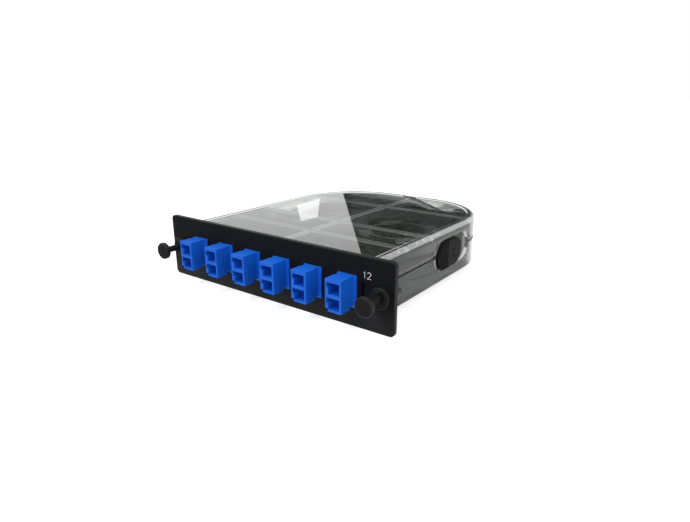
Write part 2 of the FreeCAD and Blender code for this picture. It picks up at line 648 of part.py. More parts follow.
def plunger(x):
    """Mushroom-headed plunger with a stop collar, drawn in its pulled-out place."""
    head_front = plate_front - HEAD_REACH
    head_rear = head_front + HEAD_THICKNESS
    collar_front = plate_front + MOVING_GAP
    collar_rear = collar_front + COLLAR_LENGTH
    rim_front = Vector(x + HEAD_RADIUS - HEAD_ROUND, head_front, 0)
    rim_side = Vector(x + HEAD_RADIUS, head_front + HEAD_ROUND, 0)
    bulge = HEAD_ROUND * math.sqrt(0.5)
    rim_middle = Vector(x + HEAD_RADIUS - HEAD_ROUND + bulge, head_front + HEAD_ROUND - bulge, 0)
    outline = [
        Vector(x + HEAD_RADIUS, head_rear - EDGE_BREAK, 0),
        Vector(x + HEAD_RADIUS - EDGE_BREAK, head_rear, 0),
        Vector(x + NECK_RADIUS, head_rear, 0),
        Vector(x + STEM_RADIUS, head_rear + NECK_LENGTH, 0),
        Vector(x + STEM_RADIUS, collar_front, 0),
        Vector(x + COLLAR_RADIUS, collar_front, 0),
        Vector(x + COLLAR_RADIUS, collar_rear, 0),
        Vector(x + STEM_RADIUS, collar_rear, 0),
        Vector(x + STEM_RADIUS, STEM_TIP - STEM_TIP_BEVEL, 0),
        Vector(x + STEM_RADIUS - STEM_TIP_BEVEL, STEM_TIP, 0),
        Vector(x, STEM_TIP, 0),
        Vector(x, head_front, 0),
        rim_front,
    ]
    edges = [Part.Arc(rim_front, rim_middle, rim_side).toShape()]
    start = rim_side
    for point in outline:
        edges.append(Part.LineSegment(start, point).toShape())
        start = point
    return closed_face(edges).revolve(Vector(x, 0, 0), Vector(0, 1, 0), 360)


# ---------------------------------------------------------------- cable grommet
def cable_grommet():
    """Rubber plug in the front part of the side port, with an inner flange, grip ribs and two holes."""
    along = Vector(0, 1, 0)
    up = Vector(0, 0, 1)
    front_end = PORT_CENTRE_Y - SIDE_PORT_LENGTH / 2 + GROMMET_END_GAP
    middle = front_end + GROMMET_LENGTH / 2
    height = SIDE_PORT_HEIGHT - 2 * MOVING_GAP
    corner = (height - GROMMET_END_FLAT) / 2
    outer_x = shell_side + GROMMET_PROUD
    inner_x = shell_side - SHELL_WALL - MOVING_GAP
    plug = rounded_rectangle(Vector(inner_x, middle, parting_z), along, up, GROMMET_LENGTH, height, corner)
    plug = plug.extrude(Vector(outer_x - inner_x, 0, 0))
    rim = [edge for edge in plug.Edges if edge.BoundBox.XMin > outer_x - EDGE_BREAK]
    plug = plug.makeFillet(GROMMET_EDGE_RADIUS, rim)
    flange = rounded_rectangle(Vector(inner_x, middle, parting_z), along, up,
                               GROMMET_LENGTH + 2 * GROMMET_INNER_FLANGE, height + 2 * GROMMET_INNER_FLANGE,
                               corner + GROMMET_INNER_FLANGE)
    flange = flange.extrude(Vector(-GROMMET_FLANGE_THICKNESS, 0, 0))
    grommet = plug.fuse(flange)
    for index in range(GROMMET_RIB_COUNT):
        y = front_end + GROMMET_RIB_PITCH * (index + 1)
        grommet = grommet.cut(box(outer_x - GROMMET_RIB_DEPTH, outer_x + CUT_EXTRA, y - GROMMET_RIB_PITCH / 4,
                                  y + GROMMET_RIB_PITCH / 4, parting_z - height / 2, parting_z + height / 2))
    for side in (-1, 1):
        z = parting_z + side * GROMMET_HOLE_SPACING / 2
        hole = Part.makeCylinder(GROMMET_HOLE_RADIUS, GROMMET_HOLE_DEPTH + CUT_EXTRA,
                                 Vector(outer_x - GROMMET_HOLE_DEPTH, GROMMET_HOLE_Y, z), Vector(1, 0, 0))
        grommet = grommet.cut(hole)
    return clean(grommet)


# ---------------------------------------------------------------- splice holder
def splice_holder():
    """Comb on the tray's floor: a base with two rows of fins that grip the splices between them."""
    half_width = HOLDER_WIDTH / 2
    half_length = HOLDER_LENGTH / 2
    fin_top = floor_top + HOLDER_BASE + HOLDER_FIN_HEIGHT
    pitch = (HOLDER_WIDTH - HOLDER_FIN_THICKNESS) / HOLDER_SLOTS
    parts = [box(-half_width, half_width, HOLDER_Y - half_length, HOLDER_Y + half_length, floor_top,
                 floor_top + HOLDER_BASE)]
    half_fin = HOLDER_FIN_THICKNESS / 2
    for index in range(HOLDER_SLOTS + 1):
        x = -half_width + half_fin + index * pitch
        left_nose = HOLDER_FIN_NOSE if index > 0 else 0
        right_nose = HOLDER_FIN_NOSE if index < HOLDER_SLOTS else 0
        root = floor_top + HOLDER_BASE / 2
        shoulder = fin_top - 2 * HOLDER_FIN_THICKNESS
        fin = polygon_face([
            Vector(x - half_fin, HOLDER_Y - half_length, root),
            Vector(x + half_fin, HOLDER_Y - half_length, root),
            Vector(x + half_fin, HOLDER_Y - half_length, shoulder),
            Vector(x + half_fin + right_nose, HOLDER_Y - half_length, fin_top - HOLDER_FIN_THICKNESS),
            Vector(x, HOLDER_Y - half_length, fin_top),
            Vector(x - half_fin - left_nose, HOLDER_Y - half_length, fin_top - HOLDER_FIN_THICKNESS),
            Vector(x - half_fin, HOLDER_Y - half_length, shoulder),
        ])
        parts.append(fin.extrude(Vector(0, HOLDER_LENGTH, 0)))
    holder = fuse_all(parts)
    window = box(-half_width - CUT_EXTRA, half_width + CUT_EXTRA, HOLDER_Y - HOLDER_WINDOW / 2,
                 HOLDER_Y + HOLDER_WINDOW / 2, floor_top + HOLDER_BASE, fin_top + CUT_EXTRA)
    return clean(holder.cut(window))


# ---------------------------------------------------------------- build
def build():
    """Make every piece and write it."""
    os.makedirs("parts", exist_ok=True)
    save("faceplate", faceplate())
    save("base_tray", base_tray())
    save("cover", cover())
    save("cable_grommet", cable_grommet())
    save("splice_holder", splice_holder())
    for name, side in (("left", -1), ("right", 1)):
        save(name + "_latch_bush", latch_bush(side * LATCH_SPACING / 2))
        save(name + "_plunger", plunger(side * LATCH_SPACING / 2))
    for number, x in enumerate(adapter_places(), start=1):
        name = "adapter_" + str(number)
        save(name + "_front", adapter_front(x))
        save(name + "_rear", adapter_rear(x))
        save(name + "_clip", adapter_clip(x))
        save(name + "_sleeves", adapter_sleeves(x))


build()
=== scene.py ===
"""Fibre cassette: finishes, printed number, lights and camera round the packed model."""

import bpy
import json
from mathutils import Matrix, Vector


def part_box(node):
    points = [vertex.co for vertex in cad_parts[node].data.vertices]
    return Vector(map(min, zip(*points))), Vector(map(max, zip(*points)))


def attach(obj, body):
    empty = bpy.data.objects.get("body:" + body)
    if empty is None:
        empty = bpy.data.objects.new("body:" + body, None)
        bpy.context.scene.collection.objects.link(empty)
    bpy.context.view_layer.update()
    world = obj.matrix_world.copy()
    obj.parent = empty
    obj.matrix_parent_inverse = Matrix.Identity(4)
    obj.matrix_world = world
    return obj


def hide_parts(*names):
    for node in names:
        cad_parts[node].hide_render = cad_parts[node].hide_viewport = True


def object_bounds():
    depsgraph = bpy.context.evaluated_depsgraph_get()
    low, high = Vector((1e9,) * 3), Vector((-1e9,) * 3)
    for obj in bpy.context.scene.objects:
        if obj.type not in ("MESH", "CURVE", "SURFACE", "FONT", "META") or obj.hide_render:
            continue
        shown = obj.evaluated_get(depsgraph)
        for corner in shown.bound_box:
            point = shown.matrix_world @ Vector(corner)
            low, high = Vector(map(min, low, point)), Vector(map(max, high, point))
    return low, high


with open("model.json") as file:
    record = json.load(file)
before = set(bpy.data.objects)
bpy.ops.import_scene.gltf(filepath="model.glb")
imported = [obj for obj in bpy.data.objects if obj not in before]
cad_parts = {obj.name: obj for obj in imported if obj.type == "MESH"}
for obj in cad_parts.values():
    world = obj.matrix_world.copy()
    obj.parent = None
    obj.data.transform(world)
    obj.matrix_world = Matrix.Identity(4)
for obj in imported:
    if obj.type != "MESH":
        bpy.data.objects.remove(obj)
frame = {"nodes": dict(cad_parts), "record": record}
CAD_BOX = [list(corner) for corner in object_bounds()]

import json
import math

import bmesh
import bpy
import numpy as np
from bpy.props import FloatProperty, FloatVectorProperty, PointerProperty, StringProperty
from bpy.types import NodeSocket, Operator, Panel, PropertyGroup
from mathutils import Vector

bl_info = {
    "name": "Fibre cassette",
    "version": (1, 0, 0),
    "blender": (4, 5, 0),
    "location": "3D View > Sidebar > Cassette",
    "description": "Dresses a fibre cassette with its finishes, printed number, lights and camera",
    "category": "Object",
}

MM = 0.001
NODE_BODY = {node: body for body, nodes in frame["record"]["behaviour"]["bodies"].items() for node in nodes}

# Edges of the finished pieces
DOUBLE_REACH = 0.002 * MM           # corners nearer than this are one
FLAT_TURN = math.radians(0.4)       # faces that turn less than this from one another are one
SHARP_TURN = math.radians(28)       # edges that turn more than this are sharp, and are rounded
EDGE_STEPS = 2                      # faces across a rounded edge

# Metal and ceramic
STEEL_SHADES = ((0.50, 0.51, 0.53, 1.0), (0.68, 0.69, 0.70, 1.0))
ROLLING_STRETCH = (1.0, 0.05, 1.0)  # the steel's fine lines run from front to back
CERAMIC_WHITE = (0.82, 0.82, 0.79)

# Painted shade of the fine steps across the adapters' sides
SCORE_COUNT = 3
SCORE_WIDTH = 0.3 * MM
STEP_SHADE_DARKNESS = 0.55                  # how much darker the painted shade makes the steps

# Which way a face looks, from the shares of its normal
SIDE_SLOPE = 0.2                    # upright: the vertical share is below this
LEVEL_SLOPE = 0.97                  # level: the vertical share is above this
FACING = 0.7                        # it looks along an axis: that axis's share is above this

# Clear plastic
CLEAR_IOR = 1.12
CLEAR_SKIN_IOR = 1.585
CLEAREST = 0.92                     # what the clearest faces let through
CLEARNESS = "clearness"             # face attribute: how much clearer a face is than the smoke's own tint
UPRIGHT_CLEARNESS = 0.5             # the outer walls, where they are straight
INNER_CLEARNESS = 3.0               # the walls and rings inside
RIM_CLEARNESS = 1.2                 # the slopes and the level top of the rim
HOOK_CLEARNESS = 0.02               # the hooks, in and before the faceplate
UPRIGHT_COAT = 0.5                  # the upright walls are less polished
PAINTED_EDGE_GLOW = "edge_light"           # face attribute: the painted glow on a face, standing in for light the plastic gathers, where 1 is white
# Painted glow (emission) on these faces of the clear plastic, where 1 is white:
CORNER_PAINTED_GLOW = 0.18                 # painted highlight on the rounded upright corners, where they turn most
RIM_PAINTED_GLOW = 0.3                     # painted glow on the rim's rounded slopes
STRIP_PAINTED_GLOW = 0.3                   # painted glow on the rim's level top
LINE_PAINTED_GLOW = 0.6                    # painted glow on the step inside the rim
RIB_PAINTED_GLOW = 0.65                    # painted glow on the flanks of the cover's ribs
RIB_BACK_PAINTED_GLOW = 0.3                # painted glow on the flanks that look backwards
SEAM_PAINTED_GLOW = 0.5                    # painted glow on level edges along the seam
RING_PAINTED_GLOW = 0.35                   # painted glow on the bend-radius rings' upper edges
PORT_PAINTED_GLOW = 0.5                    # painted glow on the edges round the grommet's port

# Where the clear plastic's edges lie
SHELL_TURN = 40 * MM                # radius of the housing's rear corners
SKIN_REACH = 0.3 * MM               # a face this near to a surface lies in it
EDGE_REACH = 2.2 * MM               # the housing's outer edge reaches this far in, and this far down
RIM_REACH = 4.2 * MM                # width of the cover's rim
RIM_STEP = 0.6 * MM                 # depth of the step inside the rim
RIB_LEVEL = 3.4 * MM                # the cover's ribs lie no deeper than this under its top
RING_LEVEL = 3.8 * MM               # the rings end this far under the cover's top
SEAM_REACH = 3 * MM                 # the seam's edges lie this near to it
PORT_REACH = 9 * MM                 # the port's edges lie this near to the grommet

# Printed digits, in heights
DIGIT_WIDTHS = {"1": 0.22, "2": 0.70}
ONE_FLAG = 0.78                     # the 1's flag starts at this height
TWO_FOOT = 0.02                     # the 2's foot starts this far from its left end
BOWL_CENTRE = (0.34, 0.72)
BOWL_RADII = (0.30, 0.28)
BOWL_ENDS = (165, -40)              # degrees at which the 2's bowl starts and ends
BOWL_POINTS = 13
MITRE_LIMIT = 0.5                   # a mitre reaches no further than half the stroke divided by this

# Floor, cards and lamps, in metres
FLOOR_GREY = 0.6
FLOOR_LIFT = 0.7                    # the floor's own light, only where it is seen
FLOOR_HALF = 4.0
FLOOR_DROP = 0.02 * MM
# Two cards stand on walls far behind the cassette, and only gloss sees them. Their corners are given as
# (across, up) for each metre behind, from the eye's mirror image under the cover's top.
FLAG_WALL = 60.0
FLAG_CORNERS = ((-0.841, 0.0), (-0.20, 0.0), (-0.20, 0.62), (-0.601, 0.62))
FLAG_GREY = 0.03                    # the dark flag, which lets the cover's right part show its inside
WINDOW_WALL = 59.4
WINDOW_CORNERS = ((-0.818, 0.260), (-0.825, 0.305), (-0.880, 0.324), (-0.892, 0.285))
WINDOW_GLOW = 1.9                   # the small bright window
# The third card lies before the faceplate, as (x, y), and keeps its black deep.
FRONT_CORNERS = ((-2.0, -0.015), (-2.0, -2.0), (0.3, -2.0), (0.08, -0.015))
FRONT_GREY = 0.25
LAMPS = (                           # each one's name, the side of its square and its place
    ("key", 0.5, (-0.10, -0.25, 0.62)),
    ("fill", 0.5, (0.65, -0.05, 0.35)),
    ("front", 0.4, (0.25, -0.80, 0.30)),
)
NEAREST_SEEN = 0.01
WHITE = (1.0, 1.0, 1.0, 1.0)
BLACK = (0.0, 0.0, 0.0, 1.0)


# ---------------------------------------------------------------- settings
class CassetteFinish(PropertyGroup):
    """Colours and edge sizes of the cassette's own pieces."""
    coat_colour: FloatVectorProperty(
        name="Powder coat", description="Colour of the faceplate's coat",
        default=(0.0060, 0.0062, 0.0070), size=3, min=0.0, max=1.0, subtype="COLOR")
    blue_colour: FloatVectorProperty(
        name="Adapter blue", description="Colour of the adapters' mouldings",
        default=(0.006, 0.120, 0.66), size=3, min=0.0, max=1.0, subtype="COLOR")
    cover_smoke: FloatVectorProperty(
        name="Cover smoke", description="What one face of the cover lets through",
        default=(0.185, 0.20, 0.19), size=3, min=0.0, max=1.0, subtype="COLOR")
    tray_smoke: FloatVectorProperty(
        name="Tray smoke", description="What one face of the base tray lets through",
        default=(0.26, 0.275, 0.265), size=3, min=0.0, max=1.0, subtype="COLOR")
    nylon_colour: FloatVectorProperty(
        name="Latch nylon", description="Colour of the latches' plungers and bushes",
        default=(0.012, 0.012, 0.0125), size=3, min=0.0, max=1.0, subtype="COLOR")
    rubber_colour: FloatVectorProperty(
        name="Grommet rubber", description="Colour of the cable grommet",
        default=(0.008, 0.008, 0.0078), size=3, min=0.0, max=1.0, subtype="COLOR")
    holder_colour: FloatVectorProperty(
        name="Holder green", description="Colour of the splice holder",
        default=(0.06, 0.30, 0.05), size=3, min=0.0, max=1.0, subtype="COLOR")
    print_colour: FloatVectorProperty(
        name="Print", description="Colour of the printed number",
        default=(0.74, 0.74, 0.73), size=3, min=0.0, max=1.0, subtype="COLOR")
    score_spacing: FloatProperty(
        name="Step spacing", description="Distance between the fine steps on an adapter's sides",
        default=1.35 * MM, min=0.5 * MM, max=3 * MM, unit="LENGTH", precision=5)
    moulded_edge: FloatProperty(
        name="Moulded edge", description="Rounding of the small mouldings' edges",
        default=0.14 * MM, min=0.0, max=0.5 * MM, unit="LENGTH", precision=5)
    shell_edge: FloatProperty(
        name="Housing edge", description="Rounding of the clear housing's edges",
        default=0.22 * MM, min=0.0, max=0.6 * MM, unit="LENGTH", precision=5)
    plate_edge: FloatProperty(
        name="Plate edge", description="Rounding of the coated plate's edges",
        default=0.12 * MM, min=0.0, max=0.4 * MM, unit="LENGTH", precision=5)


class CassettePrint(PropertyGroup):
    """The number printed on the faceplate, which counts the fibres."""
    words: StringProperty(
        name="Number", description="Plain number of fibres, of the digits 1 and 2", default="12")
    height: FloatProperty(
        name="Height", description="Height of the digits",
        default=2.6 * MM, min=1 * MM, max=6 * MM, unit="LENGTH", precision=4)
    stroke: FloatProperty(
        name="Stroke", description="Width of the digits' lines",
        default=0.22 * MM, min=0.1 * MM, max=1 * MM, unit="LENGTH", precision=5)
    spacing: FloatProperty(
        name="Spacing", description="Gap between digits, in heights", default=0.42, min=0.0)
    rise: FloatProperty(
        name="Ink", description="How far the ink stands on the coat",
        default=0.04 * MM, min=0.01 * MM, max=0.2 * MM, unit="LENGTH", precision=5)
    left: FloatProperty(
        name="Left", description="Left end of the number from the middle of the plate",
        default=50.9 * MM, min=0.0, max=60 * MM, unit="LENGTH", precision=4)
    base: FloatProperty(
        name="Base", description="Base line of the number above the middle of the plate",
        default=6.35 * MM, min=0.0, max=10 * MM, unit="LENGTH", precision=4)


class CassetteStage(PropertyGroup):
    """Floor, lights and camera."""
    eye: FloatVectorProperty(
        name="Camera", description="Where the camera stands",
        default=(161.6 * MM, -162.9 * MM, 76.2 * MM), size=3, subtype="TRANSLATION", unit="LENGTH")
    azimuth: FloatProperty(
        name="Azimuth", description="Camera's turn round the cassette",
        default=math.radians(36.6), subtype="ANGLE", unit="ROTATION")
    elevation: FloatProperty(
        name="Elevation", description="Camera's tilt downwards",
        default=math.radians(17.9), subtype="ANGLE", unit="ROTATION")
    lens: FloatProperty(
        name="Lens", description="Focal length on a 36 mm wide film", default=28.44, min=10.0, max=200.0)
    key_power: FloatProperty(
        name="Key light", description="Power of the large lamp above the front",
        default=2.6, min=0.0, subtype="POWER")
    fill_power: FloatProperty(
        name="Fill light", description="Power of the lamp on the right",
        default=1.5, min=0.0, subtype="POWER")
    front_power: FloatProperty(
        name="Front light", description="Power of the lamp before the faceplate",
        default=1.6, min=0.0, subtype="POWER")
    sky_light: FloatProperty(
        name="Surroundings", description="Strength of the even light from all round", default=0.55, min=0.0)


# ---------------------------------------------------------------- shared mesh work
def put_in_scene(name, content):
    """Link a mesh, lamp or camera as an object at the origin."""
    piece = bpy.data.objects.new(name, content)
    bpy.context.scene.collection.objects.link(piece)
    return piece


def merged_copy(node):
    """A copy of a CAD node's mesh with its doubles merged and its flat faces joined into single faces."""
    mesh = frame["nodes"][node].data.copy()
    mesh.name = node + "_finished"
    mesh.materials.clear()
    work = bmesh.new()
    work.from_mesh(mesh)
    bmesh.ops.remove_doubles(work, verts=work.verts, dist=DOUBLE_REACH)
    bmesh.ops.dissolve_limit(
        work, angle_limit=FLAT_TURN, verts=work.verts, edges=work.edges, use_dissolve_boundaries=False,
        delimit={"NORMAL"})
    work.to_mesh(mesh)
    work.free()
    return mesh


def finished_copy(node, edge_width, material):
    """The node's own shape with small rounded edges and smooth curved faces; it stands for the node."""
    mesh = merged_copy(node)
    mesh.polygons.foreach_set("use_smooth", np.ones(len(mesh.polygons), dtype=bool))
    mesh.set_sharp_from_angle(angle=SHARP_TURN)
    mesh.materials.append(material)
    piece = put_in_scene(node + "_finish", mesh)
    if edge_width > 0:
        bevel = piece.modifiers.new("edges", "BEVEL")
        bevel.width = edge_width
        bevel.segments = EDGE_STEPS
        bevel.limit_method = "ANGLE"
        bevel.angle_limit = SHARP_TURN
        bevel.miter_outer = "MITER_ARC"
        bevel.harden_normals = True
    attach(piece, NODE_BODY[node])
    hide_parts(node)
    return piece


# ---------------------------------------------------------------- shared material work
def feed(tree, socket, value):
    """Give an input a plain value, or link it to the output that works its value out."""
    if isinstance(value, NodeSocket):
        tree.links.new(value, socket)
    else:
        socket.default_value = value


def math_node(tree, operation, *values):
    """One step of arithmetic on sockets or numbers."""
    node = tree.nodes.new("ShaderNodeMath")
    node.operation = operation
    for socket, value in zip(node.inputs, values):
        feed(tree, socket, value)
    return node.outputs[0]


def scaled(tree, colour, share):
    """A colour, brighter or darker by a share."""
    node = tree.nodes.new("ShaderNodeVectorMath")
    node.operation = "SCALE"
    feed(tree, node.inputs[0], colour)
    feed(tree, node.inputs["Scale"], share)
    return node.outputs[0]


def noise_node(tree, place, scale, detail):
    """Smooth chance values from 0 to 1 over the surface."""
    noise = tree.nodes.new("ShaderNodeTexNoise")
    feed(tree, noise.inputs["Vector"], place)
    feed(tree, noise.inputs["Scale"], scale)
    feed(tree, noise.inputs["Detail"], detail)
    return noise.outputs["Fac"]


def ranged(tree, value, low, high):
    """A 0 to 1 value spread to a range."""
    spread = tree.nodes.new("ShaderNodeMapRange")
    feed(tree, spread.inputs["Value"], value)
    feed(tree, spread.inputs["To Min"], low)
    feed(tree, spread.inputs["To Max"], high)
    return spread.outputs["Result"]


def face_value(tree, name):
    """One of the piece's face attributes."""
    attribute = tree.nodes.new("ShaderNodeAttribute")
    attribute.attribute_name = name
    return attribute.outputs["Fac"]


def object_place(tree):
    """The place on the piece, in Object coordinates."""
    return tree.nodes.new("ShaderNodeTexCoord").outputs["Object"]


def new_group(name, inputs, outputs):
    """An empty shader node group with named sockets, its entry and its exit."""
    group = bpy.data.node_groups.new(name, "ShaderNodeTree")
    for label, kind, default in inputs:
        socket = group.interface.new_socket(name=label, in_out="INPUT", socket_type=kind)
        socket.default_value = default
    for label, kind in outputs:
        group.interface.new_socket(name=label, in_out="OUTPUT", socket_type=kind)
    entry = group.nodes.new("NodeGroupInput").outputs
    leave = group.nodes.new("NodeGroupOutput").inputs
    return group, entry, leave


def place_group(tree, group, **values):
    """A group's node in a material, its inputs set by name, with _ for a space."""
    node = tree.nodes.new("ShaderNodeGroup")
    node.node_tree = group
    for name, value in values.items():
        feed(tree, node.inputs[name.replace("_", " ")], value)
    return node


def new_material(name, **values):
    """A material with only its Principled shader, whose plain values are set by name, with _ for a space."""
    material = bpy.data.materials.new(name)
    material.use_nodes = True
    shader = material.node_tree.nodes["Principled BSDF"]
    for label, value in values.items():
        shader.inputs[label.replace("_", " ")].default_value = value
    return material, material.node_tree, shader


MADE = {}


def once(make):
    """A material or node group made on first use, and found again by its function's name."""
    if make.__name__ not in MADE:
        MADE[make.__name__] = make()
    return MADE[make.__name__]


def skin_grain():
    """Moulded or coated skin: fine grain height, and slow tone and gloss changes over the surface."""
    group, entry, leave = new_group(
        "skin_grain",
        [("Color", "NodeSocketColor", (0.5, 0.5, 0.5, 1.0)),
         ("Tone Change", "NodeSocketFloat", 0.08),
         ("Roughness", "NodeSocketFloat", 0.4),
         ("Gloss Change", "NodeSocketFloat", 0.06),
         ("Grain Scale", "NodeSocketFloat", 2500.0)],
        [("Color", "NodeSocketColor"), ("Roughness", "NodeSocketFloat"), ("Height", "NodeSocketFloat")])
    place = object_place(group)
    slow = noise_node(group, place, scale=55.0, detail=3.0)
    shift = math_node(group, "SUBTRACT", slow, 0.5)
    tone = math_node(group, "MULTIPLY_ADD", shift, entry["Tone Change"], 1.0)
    feed(group, leave["Color"], scaled(group, entry["Color"], tone))
    gloss = math_node(group, "MULTIPLY_ADD", shift, entry["Gloss Change"], entry["Roughness"])
    feed(group, leave["Roughness"], gloss)
    feed(group, leave["Height"], noise_node(group, place, scale=entry["Grain Scale"], detail=2.0))
    return group


def skin_material(name, colour, roughness, grain_scale, grain_depth, tone=0.1, gloss=0.08, specular=0.5):
    """An opaque moulded or coated skin with its own grain."""
    material, tree, shader = new_material(name, Specular_IOR_Level=specular)
    skin = place_group(
        tree, once(skin_grain), Color=(*colour, 1.0), Tone_Change=tone, Roughness=roughness,
        Gloss_Change=gloss, Grain_Scale=grain_scale)
    feed(tree, shader.inputs["Base Color"], skin.outputs["Color"])
    feed(tree, shader.inputs["Roughness"], skin.outputs["Roughness"])
    bump = tree.nodes.new("ShaderNodeBump")
    feed(tree, bump.inputs["Strength"], 1.0)
    feed(tree, bump.inputs["Distance"], grain_depth)
    feed(tree, bump.inputs["Height"], skin.outputs["Height"])
    feed(tree, shader.inputs["Normal"], bump.outputs["Normal"])
    return material


# ---------------------------------------------------------------- opaque materials
def powder_coat():
    """Satin black powder coat with its orange-peel skin."""
    return skin_material(
        "black_powder_coat", bpy.context.scene.cassette_finish.coat_colour, roughness=0.42,
        grain_scale=1300.0, grain_depth=0.012 * MM, specular=0.12)


def black_nylon():
    """Black nylon of the latches."""
    return skin_material(
        "black_nylon", bpy.context.scene.cassette_finish.nylon_colour, roughness=0.4,
        grain_scale=2200.0, grain_depth=0.006 * MM, specular=0.15)


def black_rubber():
    """Matt black grommet rubber."""
    return skin_material(
        "black_rubber", bpy.context.scene.cassette_finish.rubber_colour, roughness=0.58,
        grain_scale=3200.0, grain_depth=0.01 * MM, specular=0.06)


def holder_green():
    """Satin green plastic of the splice holder."""
    return skin_material(
        "holder_green", bpy.context.scene.cassette_finish.holder_colour, roughness=0.4,
        grain_scale=2600.0, grain_depth=0.005 * MM)


def printed_ink():
    """White screen-printed ink."""
    return skin_material(
        "printed_ink", bpy.context.scene.cassette_finish.print_colour, roughness=0.5,
        grain_scale=5000.0, grain_depth=0.002 * MM, tone=0.15)


def sleeve_ceramic():
    """Polished white ceramic of the alignment sleeves."""
    return skin_material(
        "sleeve_ceramic", CERAMIC_WHITE, roughness=0.18, grain_scale=4000.0, grain_depth=0.001 * MM,
        tone=0.04)


def clip_steel():
    """Bright rolled spring steel, with fine lines along the strip."""
    material, tree, shader = new_material("clip_steel", Metallic=1.0)
    stretch = tree.nodes.new("ShaderNodeMapping")
    feed(tree, stretch.inputs["Scale"], ROLLING_STRETCH)
    feed(tree, stretch.inputs["Vector"], object_place(tree))
    lines = noise_node(tree, stretch.outputs["Vector"], scale=4000.0, detail=3.0)
    tint = tree.nodes.new("ShaderNodeMix")
    tint.data_type = "RGBA"
    feed(tree, tint.inputs["A"], STEEL_SHADES[0])
    feed(tree, tint.inputs["B"], STEEL_SHADES[1])
    feed(tree, tint.inputs["Factor"], lines)
    feed(tree, shader.inputs["Base Color"], tint.outputs["Result"])
    feed(tree, shader.inputs["Roughness"], ranged(tree, lines, low=0.2, high=0.38))
    return material


def paint_step_shade(tree, shader, spacing):
    """Painted shade: fine dark lines for the steps across an adapter's sides, at equal spacings behind its
    front.
    """
    coordinates = tree.nodes.new("ShaderNodeTexCoord")
    place = tree.nodes.new("ShaderNodeSeparateXYZ")
    feed(tree, place.inputs[0], coordinates.outputs["Object"])
    facing = tree.nodes.new("ShaderNodeSeparateXYZ")
    feed(tree, facing.inputs[0], coordinates.outputs["Normal"])
    nose_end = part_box("adapter_1_front")[0][1]
    steps = 0.0
    for index in range(SCORE_COUNT):
        behind = math_node(tree, "SUBTRACT", place.outputs["Y"], nose_end + spacing * (index + 1))
        on_step = math_node(tree, "LESS_THAN", math_node(tree, "ABSOLUTE", behind), SCORE_WIDTH / 2)
        steps = math_node(tree, "MAXIMUM", steps, on_step)
    side = math_node(tree, "GREATER_THAN", math_node(tree, "ABSOLUTE", facing.outputs["X"]), FACING)
    painted_shade_mask = math_node(tree, "MULTIPLY", steps, side)
    share = math_node(tree, "SUBTRACT", 1.0, math_node(tree, "MULTIPLY", painted_shade_mask, STEP_SHADE_DARKNESS))
    colour = shader.inputs["Base Color"].links[0].from_socket
    feed(tree, shader.inputs["Base Color"], scaled(tree, colour, share))


def blue_moulding():
    """Blue adapter plastic, satin from the mould, with painted shade for the fine steps on its sides."""
    finish = bpy.context.scene.cassette_finish
    material = skin_material(
        "blue_moulding", finish.blue_colour, roughness=0.36, grain_scale=2600.0, grain_depth=0.004 * MM,
        tone=0.06, specular=0.4)
    tree = material.node_tree
    paint_step_shade(tree, tree.nodes["Principled BSDF"], finish.score_spacing)
    return material


# ---------------------------------------------------------------- clear plastic
def clear_skin():
    """Smoky clear plastic: its tint, polish and painted edge glow from the face attributes."""
    group, entry, leave = new_group(
        "clear_skin",
        [("Smoke", "NodeSocketColor", (0.2, 0.2, 0.2, 1.0)),
         ("Tone Change", "NodeSocketFloat", 0.05)],
        [("Color", "NodeSocketColor"), ("Polish", "NodeSocketFloat"), ("Roughness", "NodeSocketFloat"),
         ("Light", "NodeSocketColor")])
    slow = noise_node(group, object_place(group), scale=30.0, detail=2.0)
    clearness = face_value(group, CLEARNESS)
    change = math_node(group, "MULTIPLY", math_node(group, "SUBTRACT", slow, 0.5), entry["Tone Change"])
    share = math_node(group, "MULTIPLY", clearness, math_node(group, "ADD", change, 1.0))
    limit = group.nodes.new("ShaderNodeVectorMath")
    limit.operation = "MINIMUM"
    feed(group, limit.inputs[0], scaled(group, entry["Smoke"], share))
    feed(group, limit.inputs[1], (CLEAREST, CLEAREST, CLEAREST))
    polish = group.nodes.new("ShaderNodeMapRange")
    feed(group, polish.inputs["Value"], clearness)
    feed(group, polish.inputs["From Min"], UPRIGHT_CLEARNESS)
    feed(group, polish.inputs["To Min"], UPRIGHT_COAT)
    feed(group, leave["Color"], limit.outputs[0])
    feed(group, leave["Polish"], polish.outputs["Result"])
    feed(group, leave["Roughness"], ranged(group, slow, low=0.01, high=0.03))
    # painted glow: white scaled by the face's painted edge glow attribute, for the emission
    feed(group, leave["Light"], scaled(group, WHITE[:3], face_value(group, PAINTED_EDGE_GLOW)))
    return group


def clear_plastic(name, smoke):
    """Polished smoky polycarbonate: clear under a gloss skin, tinted at each face by its clearness, with a
    painted glow at its edges.
    """
    material, tree, shader = new_material(
        name, Transmission_Weight=1.0, IOR=CLEAR_IOR, Coat_IOR=CLEAR_SKIN_IOR, Coat_Roughness=0.02,
        Emission_Strength=1.0)
    skin = place_group(tree, once(clear_skin), Smoke=(*smoke, 1.0), Tone_Change=0.1)
    feed(tree, shader.inputs["Base Color"], skin.outputs["Color"])
    feed(tree, shader.inputs["Coat Weight"], skin.outputs["Polish"])
    feed(tree, shader.inputs["Roughness"], skin.outputs["Roughness"])
    # the emission is the painted edge glow
    feed(tree, shader.inputs["Emission Color"], skin.outputs["Light"])
    return material


def clear_cover():
    """The cover's clear plastic."""
    return clear_plastic("clear_cover", bpy.context.scene.cassette_finish.cover_smoke)


def clear_tray():
    """The base tray's clear plastic."""
    return clear_plastic("clear_tray", bpy.context.scene.cassette_finish.tray_smoke)


